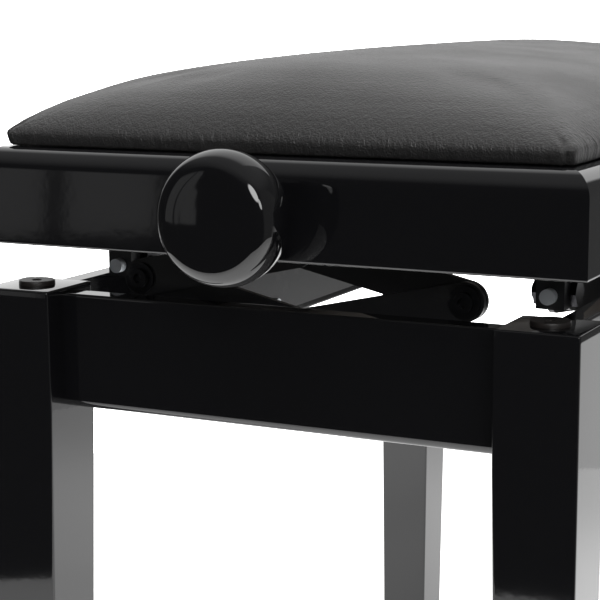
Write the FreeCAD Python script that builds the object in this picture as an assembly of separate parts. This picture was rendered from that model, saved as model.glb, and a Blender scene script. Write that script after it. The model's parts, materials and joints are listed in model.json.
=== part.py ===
"""Height-adjustable piano bench, built piece by piece, millimetres, +Z up.

The origin is the centre of the footprint on the floor.  X runs across the
bench, Y along it, with a knob at each end.  A spindle pulls a crossbar along
the bench, the crossbar opens a scissor on each long side, and the scissors
lift the seat.  A diamond of four short links at each end keeps the seat level.
"""
import FreeCAD, Part
import math
import os

V = FreeCAD.Vector

# --- driving dimensions -------------------------------------------------
WIDTH = 340.0            # seat frame, across
LENGTH = 580.0           # seat frame, along
LEG_TOP = 375.0          # top of the legs above the floor
GAP = 25.0               # leg top to seat rail at rest

RAIL_HEIGHT = 50.0
RAIL_THICK = 28.0
RAIL_ROUND = 12.5        # quarter round on the upper outer edge
RAIL_EASE = 1.5          # small round on the lower outer edge

LEG_SIZE = 42.0
LEG_INSET = 4.0          # leg face behind the rail face
LEG_SLOPE = 0.019        # taper of the two inner leg faces
LEG_EDGE = 1.2
GLIDE_THICK = 3.0
GLIDE_RADIUS = 11.0
BUMPER_RADIUS = 9.8
BUMPER_THICK = 2.5

APRON_HEIGHT = 62.0
APRON_DROP = 2.5         # apron top below the leg top
APRON_SETBACK = 14.0     # apron face behind the leg face
APRON_THICK = 13.0
APRON_ROUND = 4.5

PAD_INSET = 16.0
PAD_EDGE = 7.0
PAD_CROWN = 50.0
PAD_CORNER = 5.0
BOARD_THICK = 12.0

KNOB_RADIUS = 33.0
KNOB_REACH = 43.0        # knob front beyond the rail face
SPINDLE_RADIUS = 6.0
SPINDLE_RISE = 24.0      # spindle axis above the rail's lower edge
RUNNING = 0.05           # radial clearance of a running fit

PIN_RADIUS = 4.0
HEX_ACROSS = 13.0
PLATE = 3.0              # thickness of every link and arm

LINK_LENGTH = 95.7       # diamond link, pivot to pivot
LINK_HALF = 10.0         # half width of a diamond link
LINK_RISE = 21.0         # centre pivot above the side pivots at rest
LINK_SLACK = 3.2         # oversize of the open pivot in the upper links
LINK_SETBACK = 17.0      # diamond front face, inside the short apron

ARM_LENGTH = 400.0       # scissor arm, pivot to pivot
ARM_HALF = 11.0
ARM_NEAR_Y = -196.0      # fixed pivots of both arms
ARM_TOP_Z = 379.0        # seat pivot at rest
ARM_BASE_Z = 330.0       # base pivot
TRAVEL_UP = 80.0
TRAVEL_DOWN = 20.0

# --- places worked out from them ----------------------------------------
RAIL_Z = LEG_TOP + GAP
RAIL_TOP = RAIL_Z + RAIL_HEIGHT
SPINDLE_Z = RAIL_Z + SPINDLE_RISE
HALF_W = WIDTH / 2
HALF_L = LENGTH / 2
RAIL_IN_X = HALF_W - RAIL_THICK
RAIL_IN_Y = HALF_L - RAIL_THICK
APRON_X = HALF_W - LEG_INSET - APRON_SETBACK
APRON_Y = HALF_L - LEG_INSET - APRON_SETBACK
APRON_IN_X = APRON_X - APRON_THICK
APRON_IN_Y = APRON_Y - APRON_THICK
APRON_TOP = LEG_TOP - APRON_DROP
APRON_LOW = APRON_TOP - APRON_HEIGHT
LEG_X = HALF_W - LEG_INSET - LEG_SIZE / 2
LEG_Y = HALF_L - LEG_INSET - LEG_SIZE / 2
LEG_IN_X = LEG_X - LEG_SIZE / 2
LEG_IN_Y = LEG_Y - LEG_SIZE / 2

LINK_SIDE_Z = 378.5
LINK_TOP_Z = LINK_SIDE_Z + LINK_RISE
LINK_LOW_Z = LINK_SIDE_Z - LINK_RISE
LINK_REACH = math.sqrt(LINK_LENGTH ** 2 - LINK_RISE ** 2)
LINK_FRONT_Y = -(APRON_IN_Y - LINK_SETBACK)      # outer face of the outer link layer
LINK_BACK_Y = LINK_FRONT_Y + PLATE + 1  # outer face of the inner link layer

ARM_DROP = ARM_TOP_Z - ARM_BASE_Z
ARM_REACH = math.sqrt(ARM_LENGTH ** 2 - ARM_DROP ** 2)
ARM_ANGLE = math.degrees(math.asin(ARM_DROP / ARM_LENGTH))
ARM_FAR_Y = ARM_NEAR_Y + ARM_REACH
ARM_A_X = 123.0          # inner face of the seat-hung arm
ARM_B_X = 127.0          # inner face of the base-hung arm
EAR_IN_X = 119.0         # inner ear of each hanger
EAR_OUT_X = 131.5        # outer ear
EAR = 2.5
TRACK_X = APRON_IN_X - 2.5

SIDES = (("left", -1), ("right", 1))
ENDS = (("near", -1), ("far", 1))
CORNERS = [(sx, sy) for sx in (-1, 1) for sy in (-1, 1)]


# --- small makers --------------------------------------------------------
def block(x0, x1, y0, y1, z0, z1):
    """Box between two corners given in any order."""
    low = V(min(x0, x1), min(y0, y1), min(z0, z1))
    return Part.makeBox(abs(x1 - x0), abs(y1 - y0), abs(z1 - z0), low)


def rod(radius, start, axis, length):
    """Cylinder from a start point along an axis."""
    return Part.makeCylinder(radius, length, V(*start), V(*axis))


def hexagon(start, axis, length):
    """Hexagonal prism, HEX_ACROSS over the flats, for nuts and bolt heads."""
    radius = HEX_ACROSS / math.sqrt(3)
    ring = [V(radius * math.cos(math.radians(60 * k + 30)),
              radius * math.sin(math.radians(60 * k + 30)), 0) for k in range(7)]
    prism = Part.Face(Part.makePolygon(ring)).extrude(V(0, 0, length))
    prism.Placement = FreeCAD.Placement(V(*start), FreeCAD.Rotation(V(0, 0, 1), V(*axis)))
    return prism


def flip(shape, sx=1, sy=1):
    """Mirror a shape to the other side (sx) or the other end (sy)."""
    if sx < 0:
        shape = shape.mirror(V(0, 0, 0), V(1, 0, 0))
    if sy < 0:
        shape = shape.mirror(V(0, 0, 0), V(0, 1, 0))
    return shape


def link_plate(start, end, half, layer, across, holes):
    """Flat bar with round ends from start to end, PLATE thick.

    start and end are the two pivots, layer is the outer face of the plate on
    the across axis, and holes are (distance from start, radius, slot length).
    """
    run = V(*end) - V(*start)
    length = run.Length
    body = block(0, length, -half, half, 0, PLATE)
    body = body.fuse(rod(half, (0, 0, 0), (0, 0, 1), PLATE))
    body = body.fuse(rod(half, (length, 0, 0), (0, 0, 1), PLATE)).removeSplitter()
    for at, radius, slot in holes:
        for shift in (-slot / 2, slot / 2):
            body = body.cut(rod(radius, (at + shift, 0, -1), (0, 0, 1), PLATE + 2))
        if slot:
            body = body.cut(block(at - slot / 2, at + slot / 2, -radius, radius, -1, PLATE + 1))
    along = run.normalize()
    normal = V(*across)
    side = normal.cross(along)
    matrix = FreeCAD.Matrix(along.x, side.x, normal.x, start[0],
                            along.y, side.y, normal.y, start[1],
                            along.z, side.z, normal.z, start[2], 0, 0, 0, 1)
    moved = body.transformGeometry(matrix)
    return moved.translate(V(*across) * layer)


def save(name, *solids):
    """Write one node; several separate solids share a node as a compound."""
    shape = solids[0] if len(solids) == 1 else Part.makeCompound(list(solids))
    if not shape.isValid():
        raise ValueError(name + " is not a valid shape")
    shape.exportStep("parts/" + name + ".step")


# --- seat frame ----------------------------------------------------------
def moulding(length):
    """Seat rail along X with its outer face on Y = 0, mitred at both ends."""
    top, low = RAIL_TOP, RAIL_Z
    turn = math.sqrt(0.5)
    a = V(0, RAIL_EASE, low)
    b = V(0, RAIL_THICK, low)
    c = V(0, RAIL_THICK, top)
    d = V(0, RAIL_ROUND, top)
    e = V(0, 0, top - RAIL_ROUND)
    f = V(0, 0, low + RAIL_EASE)
    upper = V(0, RAIL_ROUND * (1 - turn), top - RAIL_ROUND * (1 - turn))
    lower = V(0, RAIL_EASE * (1 - turn), low + RAIL_EASE * (1 - turn))
    outline = Part.Wire([
        Part.makeLine(a, b), Part.makeLine(b, c), Part.makeLine(c, d),
        Part.Arc(d, upper, e).toShape(), Part.makeLine(e, f),
        Part.Arc(f, lower, a).toShape()])
    bar = Part.Face(outline).extrude(V(length, 0, 0))
    bar.translate(V(-length / 2, 0, 0))
    half = length / 2
    mitre = Part.makePolygon([
        V(-half, 0, low - 1), V(half, 0, low - 1),
        V(half - RAIL_THICK, RAIL_THICK, low - 1),
        V(-half + RAIL_THICK, RAIL_THICK, low - 1), V(-half, 0, low - 1)])
    return bar.common(Part.Face(mitre).extrude(V(0, 0, RAIL_HEIGHT + 2)))


def turned(shape, angle):
    return shape.rotate(V(0, 0, 0), V(0, 0, 1), angle)


def seat_frame():
    for index, (end, sy) in enumerate(ENDS):
        rail = moulding(WIDTH)
        rail.translate(V(0, -HALF_L, 0))
        rail = rail.cut(rod(9, (0, -HALF_L - 1, SPINDLE_Z), (0, 1, 0), RAIL_THICK + 2))
        save("seat_rail_" + end, turned(rail, 180 * index))
    for index, (side, sx) in enumerate(SIDES):
        rail = moulding(LENGTH)
        rail.translate(V(0, -HALF_W, 0))
        save("seat_rail_" + side, turned(rail, -90 + 180 * index))
    board = block(-RAIL_IN_X, RAIL_IN_X, -RAIL_IN_Y, RAIL_IN_Y, RAIL_TOP - BOARD_THICK, RAIL_TOP)
    save("seat_board", board)
    leg, low = 34.0, RAIL_Z + 12
    blocks, screws = [], []
    for sx, sy in CORNERS:
        ring = [V(RAIL_IN_X, RAIL_IN_Y, low), V(RAIL_IN_X - leg, RAIL_IN_Y, low),
                V(RAIL_IN_X, RAIL_IN_Y - leg, low), V(RAIL_IN_X, RAIL_IN_Y, low)]
        corner = Part.Face(Part.makePolygon(ring)).extrude(V(0, 0, RAIL_TOP - BOARD_THICK - low))
        hole = rod(2.5, (RAIL_IN_X - 11, RAIL_IN_Y - 11, low - 1), (0, 0, 1), 40)
        blocks.append(flip(corner.cut(hole), sx, sy))
        screw = rod(2.5, (RAIL_IN_X - 11, RAIL_IN_Y - 11, low), (0, 0, 1), 22)
        head = rod(4.5, (RAIL_IN_X - 11, RAIL_IN_Y - 11, low - 2.4), (0, 0, 1), 2.4)
        screws.append(flip(screw.fuse(head), sx, sy))
    save("seat_corner_blocks", *blocks)
    save("seat_block_screws", *screws)


def pad():
    """Closed dome: rounded rectangles stacked by the height of the crown."""
    half_x, half_y = HALF_W - PAD_INSET, HALF_L - PAD_INSET
    sections = []
    rise = PAD_CROWN - PAD_EDGE
    for inset, height in [(1.5, 0.3), (0, PAD_EDGE)] + [
            (half_x * t, PAD_EDGE + rise * (1 - (1 - t) ** 2.3)) for t in (0.06, 0.16, 0.3, 0.5, 0.75)]:
        a, b = half_x - inset, half_y - inset
        r = min(PAD_CORNER + 0.2 * inset, a - 1)
        z = RAIL_TOP + height
        k = r * (1 - math.sqrt(0.5))
        edges = []
        for start, end, mid, following in (
                ((a, -b + r), (a, b - r), None, None), ((a, b - r), (a - r, b), (a - k, b - k), 1),
                ((a - r, b), (-a + r, b), None, None), ((-a + r, b), (-a, b - r), (-a + k, b - k), 1),
                ((-a, b - r), (-a, -b + r), None, None), ((-a, -b + r), (-a + r, -b), (-a + k, -b + k), 1),
                ((-a + r, -b), (a - r, -b), None, None), ((a - r, -b), (a, -b + r), (a - k, -b + k), 1)):
            p, q = V(*start, z), V(*end, z)
            if mid is None:
                edges.append(Part.makeLine(p, q))
            else:
                edges.append(Part.Arc(p, V(*mid, z), q).toShape())
        sections.append(Part.Wire(edges))
    save("seat_pad", Part.makeLoft(sections, True, True))


# --- steel under the seat -------------------------------------------------
def upper_tracks():
    """Steel angle along each long rail, with its flange turned inwards."""
    half = 219.0
    wall = block(RAIL_IN_X - 3, RAIL_IN_X, -half, half, RAIL_Z, RAIL_Z + 26)
    flange = block(EAR_IN_X - 3, RAIL_IN_X - 3, -half, half, RAIL_Z, RAIL_Z + 3)
    angle = wall.fuse(flange).removeSplitter()
    for side, sx in SIDES:
        save("upper_track_" + side, flip(angle, sx))


def hangers():
    """Near hangers hold a fixed axle, far hangers guide the crossbar pins."""
    low = ARM_TOP_Z
    for side, sx in SIDES:
        front, back = ARM_NEAR_Y - 14.5, ARM_NEAR_Y + 9
        top = block(EAR_IN_X, EAR_OUT_X + EAR, front, back, RAIL_Z - 2.5, RAIL_Z)
        web = block(EAR_IN_X, EAR_OUT_X + EAR, front, front + EAR, low - 7, RAIL_Z - 2.5)
        hanger = top.fuse(web)
        for x in (EAR_IN_X, EAR_OUT_X):
            ear = block(x, x + EAR, front, back, low, RAIL_Z - 2.5)
            tongue = block(x, x + EAR, front, ARM_NEAR_Y, low - 7, low)
            round_end = rod(9, (x, ARM_NEAR_Y, low), (1, 0, 0), EAR)
            hanger = hanger.fuse(ear).fuse(tongue).fuse(round_end)
        hanger = hanger.removeSplitter()
        hanger = hanger.cut(rod(PIN_RADIUS, (EAR_IN_X - 1, ARM_NEAR_Y, low), (1, 0, 0), 20))
        mid = (EAR_IN_X + EAR_OUT_X + EAR) / 2
        hanger = hanger.cut(rod(PIN_RADIUS, (mid, front - 1, low), (0, 1, 0), EAR + 2))
        save("hanger_near_" + side, flip(hanger, sx))

        start, end = ARM_FAR_Y - 27, ARM_FAR_Y + 12
        top = block(EAR_IN_X, EAR_OUT_X + EAR, start, end, RAIL_Z - 2.5, RAIL_Z)
        guide = top
        for x in (EAR_IN_X, EAR_OUT_X):
            guide = guide.fuse(block(x, x + EAR, start, end, low - 9, RAIL_Z - 2.5))
        guide = guide.removeSplitter()
        for y in (ARM_FAR_Y - 20, ARM_FAR_Y + 5.5):
            guide = guide.cut(rod(PIN_RADIUS + 0.3, (EAR_IN_X - 1, y, low), (1, 0, 0), 20))
        guide = guide.cut(block(EAR_IN_X - 1, EAR_OUT_X + EAR + 1, ARM_FAR_Y - 20, ARM_FAR_Y + 5.5,
                                low - PIN_RADIUS - 0.3, low + PIN_RADIUS + 0.3))
        save("hanger_far_" + side, flip(guide, sx))

        axle = rod(PIN_RADIUS, (EAR_IN_X - 6, ARM_NEAR_Y, low), (1, 0, 0), 24.5)
        nut_in = hexagon((EAR_IN_X - 4.5, ARM_NEAR_Y, low), (1, 0, 0), 4.5)
        nut_out = hexagon((EAR_OUT_X + EAR, ARM_NEAR_Y, low), (1, 0, 0), 3.5)
        save("hanger_axle_" + side, flip(axle.fuse(nut_in).fuse(nut_out), sx))
        bolt = rod(PIN_RADIUS, (mid, front - 5, low), (0, 1, 0), EAR + 5)
        save("hanger_bolt_" + side, flip(bolt, sx))


def spindle_brackets():
    """Plate at each end that carries the spindle and the diamond's upper pivot."""
    face = LINK_BACK_Y + PLATE + 1
    plate = block(-22, 22, face, face + 4, LINK_TOP_Z - 11, RAIL_TOP - BOARD_THICK)
    foot = block(-22, 22, face - 22, face, RAIL_TOP - BOARD_THICK - 4, RAIL_TOP - BOARD_THICK)
    bracket = plate.fuse(foot).removeSplitter()
    bracket = bracket.cut(rod(9, (0, face - 1, SPINDLE_Z), (0, 1, 0), 6))
    bracket = bracket.cut(rod(PIN_RADIUS, (0, face - 1, LINK_TOP_Z), (0, 1, 0), 6))
    bush = rod(9, (0, face, SPINDLE_Z), (0, 1, 0), 4)
    bush = bush.fuse(rod(9.8, (0, face + 4, SPINDLE_Z), (0, 1, 0), 3))
    bush = bush.cut(rod(SPINDLE_RADIUS + RUNNING, (0, face - 1, SPINDLE_Z), (0, 1, 0), 12))
    pin = rod(PIN_RADIUS, (0, LINK_FRONT_Y - 0.6, LINK_TOP_Z), (0, 1, 0), face + 4 - LINK_FRONT_Y + 0.6)
    pin = pin.fuse(rod(8, (0, LINK_FRONT_Y - 2.6, LINK_TOP_Z), (0, 1, 0), 2.2))
    rose = rod(21, (0, -HALF_L - 2, SPINDLE_Z), (0, 1, 0), 2).fuse(
        rod(9, (0, -HALF_L, SPINDLE_Z), (0, 1, 0), RAIL_THICK))
    rose = rose.cut(rod(SPINDLE_RADIUS + RUNNING, (0, -HALF_L - 3, SPINDLE_Z), (0, 1, 0), RAIL_THICK + 4))
    pins = []
    bushes = []
    for end, sy in ENDS:
        save("spindle_bracket_" + end, flip(bracket, 1, -sy))
        save("knob_rose_" + end, flip(rose, 1, -sy))
        pins.append(flip(pin, 1, -sy))
        bushes.append(flip(bush, 1, -sy))
    save("spindle_bushes", *bushes)
    save("link_top_pivots", *pins)


# --- spindle and knobs ----------------------------------------------------
def knob_shape():
    """Turned knob round Y: slim neck, full rim and a gently domed front."""
    face = -HALF_L - 2.6
    rim_y = -HALF_L - 28.5
    front_y = -HALF_L - KNOB_REACH
    axis = SPINDLE_Z

    def at(radius, y):
        return V(0, y, axis + radius)
    neck = Part.makeLine(at(0, face), at(15, face))
    hollow = Part.Arc(at(15, face), at(17.5, face - 6), at(25, face - 10.5)).toShape()
    back = Part.Arc(at(25, face - 10.5), at(30.6, face - 15.9), at(KNOB_RADIUS, rim_y)).toShape()
    rim = Part.Arc(at(KNOB_RADIUS, rim_y), at(30.6, rim_y - 7.6), at(25, rim_y - 11.5)).toShape()
    front = Part.Arc(at(25, rim_y - 11.5), at(14, front_y + 0.9), at(2, front_y)).toShape()
    tip = Part.makeLine(at(2, front_y), at(0, front_y))
    close = Part.makeLine(at(0, front_y), at(0, face))
    half = Part.Face(Part.Wire([neck, hollow, back, rim, front, tip, close]))
    knob = half.revolve(V(0, 0, axis), V(0, 1, 0), 360)
    return knob.cut(rod(SPINDLE_RADIUS, (0, -HALF_L - 24, axis), (0, 1, 0), 30))


def spindle():
    reach = HALF_L + 24
    shaft = rod(SPINDLE_RADIUS, (0, -reach, SPINDLE_Z), (0, 1, 0), 2 * reach)
    save("spindle", shaft)
    knob = knob_shape()
    collar_y = -(LINK_BACK_Y + PLATE + 1 + 7.6)
    collar = rod(10, (0, collar_y, SPINDLE_Z), (0, -1, 0), 8)
    collar = collar.cut(rod(SPINDLE_RADIUS, (0, collar_y + 1, SPINDLE_Z), (0, -1, 0), 10))
    for end, sy in ENDS:
        save("knob_" + end, flip(knob, 1, -sy))
    save("spindle_collars", collar, flip(collar, 1, -1))


def crossbar():
    """Flat bar that the spindle nut pulls along, with a pin at each end."""
    y = ARM_FAR_Y
    bar = block(-(EAR_IN_X - 1.5), EAR_IN_X - 1.5, y - 3, y + 3, ARM_TOP_Z - 8, RAIL_Z - 2)
    save("crossbar", bar)
    nut = block(-14, 14, y - 12, y + 12, RAIL_Z - 2, RAIL_TOP - BOARD_THICK - 1)
    nut = nut.cut(rod(SPINDLE_RADIUS + RUNNING, (0, y - 13, SPINDLE_Z), (0, 1, 0), 26))
    save("spindle_nut", nut)
    pins = []
    for side, sx in SIDES:
        pin = rod(PIN_RADIUS, (EAR_IN_X - 1.5, y, ARM_TOP_Z), (1, 0, 0), 18.5)
        pins.append(flip(pin, sx))
    save("crossbar_pins", *pins)


# --- scissors --------------------------------------------------------------
def scissors():
    middle_y = ARM_NEAR_Y + ARM_REACH / 2
    middle_z = (ARM_TOP_Z + ARM_BASE_Z) / 2
    half = ARM_LENGTH / 2
    rollers, cross = [], []
    for side, sx in SIDES:
        seat_arm = link_plate((0, ARM_NEAR_Y, ARM_TOP_Z), (0, ARM_FAR_Y, ARM_BASE_Z), ARM_HALF, ARM_A_X, (1, 0, 0),
                              [(0, PIN_RADIUS + RUNNING, 0), (half, PIN_RADIUS + 1.0, 0),
                               (ARM_LENGTH, PIN_RADIUS, 0)])
        base_arm = link_plate((0, ARM_NEAR_Y, ARM_BASE_Z), (0, ARM_FAR_Y, ARM_TOP_Z), ARM_HALF, ARM_B_X, (1, 0, 0),
                              [(0, PIN_RADIUS + RUNNING, 0), (half, PIN_RADIUS, 0),
                               (ARM_LENGTH, PIN_RADIUS + 1.1, 5.4)])
        save("seat_arm_" + side, flip(seat_arm, sx))
        save("base_arm_" + side, flip(base_arm, sx))
        pin = rod(PIN_RADIUS, (ARM_A_X, ARM_FAR_Y, ARM_BASE_Z), (1, 0, 0), APRON_IN_X - 0.4 - ARM_A_X)
        head = rod(7, (ARM_A_X - 2.5, ARM_FAR_Y, ARM_BASE_Z), (1, 0, 0), 2.5)
        roller = rod(7, (ARM_A_X + PLATE + 0.3, ARM_FAR_Y, ARM_BASE_Z), (1, 0, 0), 9.5)
        rollers.append(flip(pin.fuse(head).fuse(roller), sx))
        bolt = rod(PIN_RADIUS, (ARM_A_X - 0.5, middle_y, middle_z), (1, 0, 0), ARM_B_X + PLATE - ARM_A_X + 0.5)
        head = rod(7.5, (ARM_A_X - 3, middle_y, middle_z), (1, 0, 0), 2.6)
        back = hexagon((ARM_B_X + PLATE, middle_y, middle_z), (1, 0, 0), 4)
        cross.append(flip(bolt.fuse(head).fuse(back), sx))
    save("seat_arm_rollers", *rollers)
    save("scissor_cross_bolts", *cross)


def lower_tracks():
    """Steel strip on each long apron with the base pivot and the roller slot."""
    strip = block(TRACK_X, APRON_IN_X, -217, 217, 316, 346)
    for y in (ARM_FAR_Y - 20, ARM_FAR_Y + 4):
        strip = strip.cut(rod(PIN_RADIUS + 0.9, (TRACK_X - 1, y, ARM_BASE_Z), (1, 0, 0), 4.5))
    strip = strip.cut(block(TRACK_X - 1, APRON_IN_X + 1, ARM_FAR_Y - 20, ARM_FAR_Y + 4,
                            ARM_BASE_Z - PIN_RADIUS - 0.9, ARM_BASE_Z + PIN_RADIUS + 0.9))
    strip = strip.cut(rod(PIN_RADIUS, (TRACK_X - 1, ARM_NEAR_Y, ARM_BASE_Z), (1, 0, 0), 5))
    studs, screws = [], []
    for side, sx in SIDES:
        save("lower_track_" + side, flip(strip, sx))
        stud = rod(PIN_RADIUS, (ARM_B_X - 5, ARM_NEAR_Y, ARM_BASE_Z), (1, 0, 0), APRON_IN_X - ARM_B_X + 5)
        spacer = rod(7, (ARM_B_X + PLATE + 0.4, ARM_NEAR_Y, ARM_BASE_Z), (1, 0, 0), TRACK_X - ARM_B_X - PLATE - 0.4)
        nut = hexagon((ARM_B_X - 4.6, ARM_NEAR_Y, ARM_BASE_Z), (1, 0, 0), 4.2)
        studs.append(flip(stud.fuse(spacer).fuse(nut), sx))
        for y in (-150, 0, 150):
            screws.append(flip(rod(4, (TRACK_X - 1.8, y, 322), (1, 0, 0), 1.8), sx))
    save("base_arm_studs", *studs)
    save("lower_track_screws", *screws)


# --- end diamonds ------------------------------------------------------------
def diamonds():
    """Upper and lower links on each side, the near and far ones alike."""
    shift = PLATE + 1
    for side, sx in SIDES:
        upper_layer = LINK_FRONT_Y if sx < 0 else LINK_FRONT_Y + shift
        lower_layer = LINK_FRONT_Y + shift if sx < 0 else LINK_FRONT_Y
        tip = (sx * LINK_REACH, 0, LINK_SIDE_Z)
        upper = link_plate((0, 0, LINK_TOP_Z), tip, LINK_HALF, upper_layer, (0, 1, 0),
                           [(0, PIN_RADIUS + RUNNING, 0), (LINK_LENGTH, PIN_RADIUS + LINK_SLACK, 0)])
        lower = link_plate((0, 0, LINK_LOW_Z), tip, LINK_HALF, lower_layer, (0, 1, 0),
                           [(0, PIN_RADIUS + RUNNING, 0), (LINK_LENGTH, PIN_RADIUS, 0)])
        bolt = rod(PIN_RADIUS, (tip[0], LINK_FRONT_Y - 0.6, LINK_SIDE_Z), (0, 1, 0), 2 * PLATE + 2.2)
        washer = rod(8.5, (tip[0], LINK_FRONT_Y - 1.4, LINK_SIDE_Z), (0, 1, 0), 1.0)
        cap = rod(5.2, (tip[0], LINK_FRONT_Y - 3.6, LINK_SIDE_Z), (0, 1, 0), 2.6)
        socket = rod(2.6, (tip[0], LINK_FRONT_Y - 3.7, LINK_SIDE_Z), (0, 1, 0), 2.0)
        head = washer.fuse(cap).cut(socket)
        tail = rod(8.5, (tip[0], LINK_BACK_Y + PLATE + 0.4, LINK_SIDE_Z), (0, 1, 0), 2.4)
        bolt = bolt.fuse(head).fuse(tail)
        save("upper_links_" + side, upper, flip(upper, 1, -1))
        save("lower_links_" + side, lower, flip(lower, 1, -1))
        save("link_side_bolts_" + side, bolt, flip(bolt, 1, -1))


def link_base_pivots():
    """Plate and stud on each short apron for the lower diamond pivot."""
    wall = -APRON_IN_Y
    foot = block(-20, 20, wall, wall + 2.2, LINK_LOW_Z - 24, LINK_LOW_Z + 10)
    stud = rod(PIN_RADIUS, (0, wall, LINK_LOW_Z), (0, 1, 0), LINK_BACK_Y + PLATE + 5 - wall)
    nut = hexagon((0, LINK_BACK_Y + PLATE + 0.6, LINK_LOW_Z), (0, 1, 0), 4)
    pivot = foot.fuse(stud).fuse(nut)
    save("link_base_pivots", pivot, flip(pivot, 1, -1))


# --- leg frame -----------------------------------------------------------------
def legs():
    """Square legs whose two inner faces slope in below the aprons."""
    names = {(-1, -1): "near_left", (1, -1): "near_right", (-1, 1): "far_left", (1, 1): "far_right"}
    outer_x, outer_y = HALF_W - LEG_INSET, HALF_L - LEG_INSET
    foot = LEG_SIZE - LEG_SLOPE * (APRON_LOW - GLIDE_THICK)

    def square(size, z):
        """Square section hung from the leg's outer corner, corners eased."""
        x0, x1, y0, y1 = outer_x - size, outer_x, outer_y - size, outer_y
        e = LEG_EDGE
        ring = [(x1 - e, y1), (x0 + e, y1), (x0, y1 - e), (x0, y0 + e),
                (x0 + e, y0), (x1 - e, y0), (x1, y0 + e), (x1, y1 - e), (x1 - e, y1)]
        return Part.makePolygon([V(x, y, z) for x, y in ring])
    leg = Part.makeLoft([square(foot, GLIDE_THICK), square(LEG_SIZE, APRON_LOW)], True, True)
    leg = leg.fuse(Part.Face(square(LEG_SIZE, APRON_LOW)).extrude(V(0, 0, LEG_TOP - APRON_LOW)))
    glides, bumpers = [], []
    centre = outer_x - foot / 2, outer_y - foot / 2
    for sx, sy in CORNERS:
        save("leg_" + names[(sx, sy)], flip(leg, sx, sy))
        glide = rod(GLIDE_RADIUS, (centre[0], centre[1], 0), (0, 0, 1), GLIDE_THICK)
        glides.append(flip(glide, sx, sy))
        bumper = rod(BUMPER_RADIUS, (LEG_X, LEG_Y, LEG_TOP), (0, 0, 1), BUMPER_THICK)
        rim = [e for e in bumper.Edges if e.BoundBox.ZMin > LEG_TOP + 1 and e.Length > 10]
        bumper = bumper.makeFillet(0.7, rim)
        dimple = rod(2.2, (LEG_X, LEG_Y, LEG_TOP + BUMPER_THICK - 0.8), (0, 0, 1), 2)
        bumpers.append(flip(bumper.cut(dimple), sx, sy))
    save("floor_glides", *glides)
    save("leg_bumpers", *bumpers)


def apron_bar(half, face):
    """Apron along X between the legs, outer face at Y = -face, lower edge rounded."""
    bar = block(-half, half, -face, -face + APRON_THICK, APRON_LOW, APRON_TOP)
    low = [e for e in bar.Edges if e.BoundBox.ZMax < APRON_LOW + 0.1
           and e.BoundBox.YMax < -face + 0.1 and e.Length > 50]
    bar = bar.makeFillet(APRON_ROUND, low)
    top = [e for e in bar.Edges if e.BoundBox.ZMin > APRON_TOP - 0.1
           and e.BoundBox.YMax < -face + 0.1 and e.Length > 50]
    return bar.makeFillet(1.2, top)


def aprons():
    for index, (end, sy) in enumerate(ENDS):
        save("apron_" + end, turned(apron_bar(LEG_IN_X, APRON_Y), 180 * index))
    for index, (side, sx) in enumerate(SIDES):
        save("apron_" + side, turned(apron_bar(LEG_IN_Y, APRON_X), -90 + 180 * index))


def leg_corners():
    """Hardwood corner braces, each with a hanger bolt into its leg."""
    low, high, reach = APRON_LOW + 2, APRON_LOW + 22, 40.0
    braces, bolts = [], []
    for sx, sy in CORNERS:
        a = V(APRON_IN_X, LEG_IN_Y, low)
        b = V(APRON_IN_X, APRON_IN_Y - reach, low)
        c = V(APRON_IN_X - reach, APRON_IN_Y, low)
        d = V(LEG_IN_X, APRON_IN_Y, low)
        ring = [a, b, c, d, V(LEG_IN_X, LEG_IN_Y, low), a]
        brace = Part.Face(Part.makePolygon(ring)).extrude(V(0, 0, high - low))
        turn = math.sqrt(0.5)
        middle = ((b.x + c.x) / 2, (b.y + c.y) / 2, (low + high) / 2)
        inner = V(LEG_IN_X - middle[0], LEG_IN_Y - middle[1], 0).Length
        hole = rod(3, middle, (turn, turn, 0), inner + 20)
        hole.translate(V(-6 * turn, -6 * turn, 0))
        brace = brace.cut(hole)
        bolt = rod(3, (middle[0] - 7 * turn, middle[1] - 7 * turn, middle[2]), (turn, turn, 0), inner + 5)
        bolt = bolt.cut(block(LEG_IN_X, HALF_W, LEG_IN_Y, HALF_L, low, high))
        nut = hexagon((middle[0] - 5 * turn, middle[1] - 5 * turn, middle[2]), (turn, turn, 0), 5)
        braces.append(flip(brace, sx, sy))
        bolts.append(flip(bolt.fuse(nut), sx, sy))
    save("base_corner_braces", *braces)
    save("leg_bolts", *bolts)


def main():
    os.makedirs("parts", exist_ok=True)
    seat_frame()
    pad()
    upper_tracks()
    hangers()
    spindle_brackets()
    spindle()
    crossbar()
    scissors()
    lower_tracks()
    diamonds()
    link_base_pivots()
    legs()
    aprons()
    leg_corners()


main()
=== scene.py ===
"""Piano bench with a height-adjusting knob at each end: finished surfaces,
padded seat and studio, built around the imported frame."""

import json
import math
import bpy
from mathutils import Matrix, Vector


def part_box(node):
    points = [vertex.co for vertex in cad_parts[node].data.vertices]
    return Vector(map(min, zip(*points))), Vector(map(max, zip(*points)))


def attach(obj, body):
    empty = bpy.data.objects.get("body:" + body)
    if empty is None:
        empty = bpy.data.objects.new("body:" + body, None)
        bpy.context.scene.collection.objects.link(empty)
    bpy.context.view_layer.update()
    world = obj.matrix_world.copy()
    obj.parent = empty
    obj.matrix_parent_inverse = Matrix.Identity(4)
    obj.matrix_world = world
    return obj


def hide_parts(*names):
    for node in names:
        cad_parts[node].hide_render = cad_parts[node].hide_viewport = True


bl_info = {
    "name": "Adjustable Piano Bench",
    "version": (1, 0, 0),
    "blender": (4, 5, 0),
    "location": "View3D > Sidebar > Bench",
    "description": "Builds the lacquered frame, knobs, padded seat and studio of a piano bench",
    "category": "Add Mesh",
}

import bmesh
import bpy
import numpy as np
from mathutils import Matrix

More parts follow.
